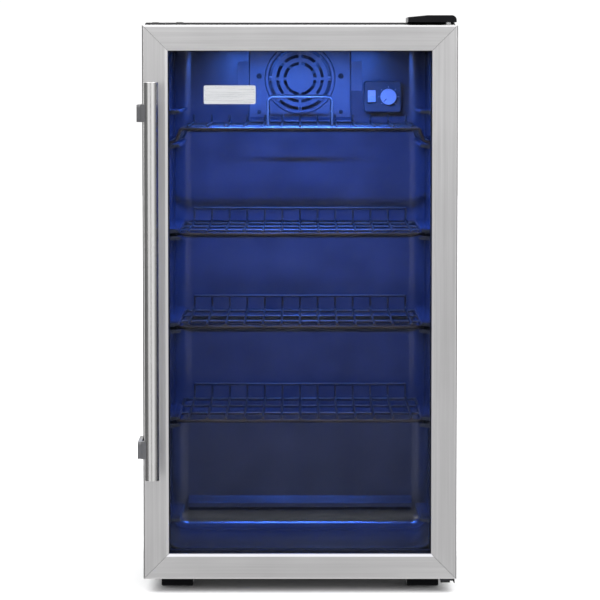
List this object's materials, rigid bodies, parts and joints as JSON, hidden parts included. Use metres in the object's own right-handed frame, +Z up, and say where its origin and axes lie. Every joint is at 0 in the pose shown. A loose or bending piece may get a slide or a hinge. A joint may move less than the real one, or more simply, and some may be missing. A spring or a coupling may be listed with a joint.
{
  "type": "mini fridge",
  "caption": "Free-standing glass-door drinks cooler with steel door frame, tall bar handle, blue-lit cavity, wire shelves, fan grille and rear compressor bay.",
  "frame": {"origin": "middle of the footprint's bounding box, on the floor", "axes": "+Z up, -Y the way the glass door faces, +X towards the hinge side, which is the right-hand side seen from the front"},
  "size_m": [0.4624, 0.535, 0.84],
  "materials": {
    "black_steel": "fine textured black paint",
    "foam": "rigid polyurethane foam",
    "liner_plastic": "satin black vacuum-formed plastic",
    "zinc_steel": "zinc-coated sheet",
    "fan_plastic": "moulded dark grey plastic",
    "motor_metal": "plated steel",
    "screw_steel": "zinc-plated steel",
    "evaporator_aluminium": "plain aluminium",
    "coil_steel": "coated steel pipe",
    "black_plastic": "moulded black plastic",
    "led_diffuser": "frosted blue-lit diffuser",
    "led_strip": "white circuit board",
    "control_plastic": "moulded dark plastic",
    "compressor_enamel": "semi-gloss black enamel",
    "black_rubber": "soft rubber",
    "relay_plastic": "moulded black plastic",
    "copper": "drawn copper tube",
    "tray_plastic": "moulded plastic",
    "foot_plastic": "moulded black plastic",
    "hinge_steel": "black powder coat",
    "cap_plastic": "glossy black plastic",
    "stainless_vertical": "brushed along its length",
    "stainless_horizontal": "brushed along its length",
    "door_plastic": "moulded black plastic",
    "clear_glass": "clear tempered glass",
    "spacer_black": "black anodised",
    "gasket_rubber": "soft black magnetic seal",
    "stainless_handle": "finely brushed tube",
    "bracket_metal": "dark grey satin metal",
    "badge_metal": "satin silver plate",
    "bush_plastic": "natural acetal",
    "blade_plastic": "moulded black plastic",
    "dial_plastic": "moulded light grey plastic",
    "switch_plastic": "moulded light grey plastic",
    "shelf_wire": "dark coated steel wire"
  },
  "bodies": {
    "cabinet": {"side_panel_left": "black_steel", "side_panel_right": "black_steel", "top_panel": "black_steel", "back_panel": "black_steel", "base_pan": "black_steel", "front_frame": "black_steel", "foam_insulation": "foam", "inner_liner": "liner_plastic", "machine_bay_divider": "zinc_steel", "shelf_rails_left": "liner_plastic", "shelf_rails_right": "liner_plastic", "fan_cover": "fan_plastic", "fan_grille": "fan_plastic", "fan_motor": "motor_metal", "cover_screws": "black_plastic", "evaporator_plate": "evaporator_aluminium", "condenser_coil": "coil_steel", "led_housing": "black_plastic", "led_lens": "led_diffuser", "led_board": "led_strip", "control_box": "control_plastic", "thermostat_body": "motor_metal", "compressor": "compressor_enamel", "compressor_grommets": "black_rubber", "compressor_bolts": "screw_steel", "start_relay_cover": "relay_plastic", "refrigerant_tubes": "copper", "filter_drier": "copper", "drip_tray": "tray_plastic", "cord_gland": "black_plastic", "front_feet": "foot_plastic", "rear_feet": "foot_plastic", "top_hinge_bracket": "hinge_steel", "bottom_hinge_bracket": "hinge_steel", "hinge_pins": "screw_steel", "hinge_screws": "screw_steel", "hinge_cover": "cap_plastic", "hole_plugs": "cap_plastic"},
    "door": {"door_stile_left": "stainless_vertical", "door_stile_right": "stainless_vertical", "door_rail_top": "stainless_horizontal", "door_rail_bottom": "stainless_horizontal", "door_inner_frame": "door_plastic", "outer_glass": "clear_glass", "inner_glass": "clear_glass", "glass_spacer": "spacer_black", "door_gasket": "gasket_rubber", "handle_bar": "stainless_handle", "handle_end_caps": "stainless_handle", "handle_brackets": "bracket_metal", "handle_screws": "screw_steel", "name_badge": "badge_metal", "hinge_bushes": "bush_plastic"},
    "fan_rotor": {"fan_blade": "blade_plastic"},
    "dial": {"thermostat_dial": "dial_plastic"},
    "rocker": {"light_switch": "switch_plastic"},
    "shelf_1": {"wire_shelf_1": "shelf_wire"},
    "shelf_2": {"wire_shelf_2": "shelf_wire"},
    "shelf_3": {"wire_shelf_3": "shelf_wire"},
    "shelf_4": {"wire_shelf_4": "shelf_wire"}
  },
  "joints": [
    {"name": "door_hinge", "type": "hinge", "parent": "cabinet", "child": "door", "pos_m": [0.2172, -0.19, 0.4235], "axis": [0, 0, 1], "range_deg": [0, 120]},
    {"name": "fan_spin", "type": "hinge", "parent": "cabinet", "child": "fan_rotor", "pos_m": [0.0032, 0.227, 0.746], "axis": [0, 1, 0], "continuous": true},
    {"name": "dial_turn", "type": "hinge", "parent": "cabinet", "child": "dial", "pos_m": [0.1412, 0.186, 0.718], "axis": [0, 1, 0], "range_deg": [0, 270]},
    {"name": "switch_rock", "type": "hinge", "parent": "cabinet", "child": "rocker", "pos_m": [0.1152, 0.1965, 0.718], "axis": [1, 0, 0], "range_deg": [0, 16]},
    {"name": "shelf_1_slide", "type": "slide", "parent": "cabinet", "child": "shelf_1", "axis": [0, -1, 0], "range_m": [0, 0.025]},
    {"name": "shelf_2_slide", "type": "slide", "parent": "cabinet", "child": "shelf_2", "axis": [0, -1, 0], "range_m": [0, 0.025]},
    {"name": "shelf_3_slide", "type": "slide", "parent": "cabinet", "child": "shelf_3", "axis": [0, -1, 0], "range_m": [0, 0.025]},
    {"name": "shelf_4_slide", "type": "slide", "parent": "cabinet", "child": "shelf_4", "axis": [0, -1, 0], "range_m": [0, 0.025]}
  ]
}
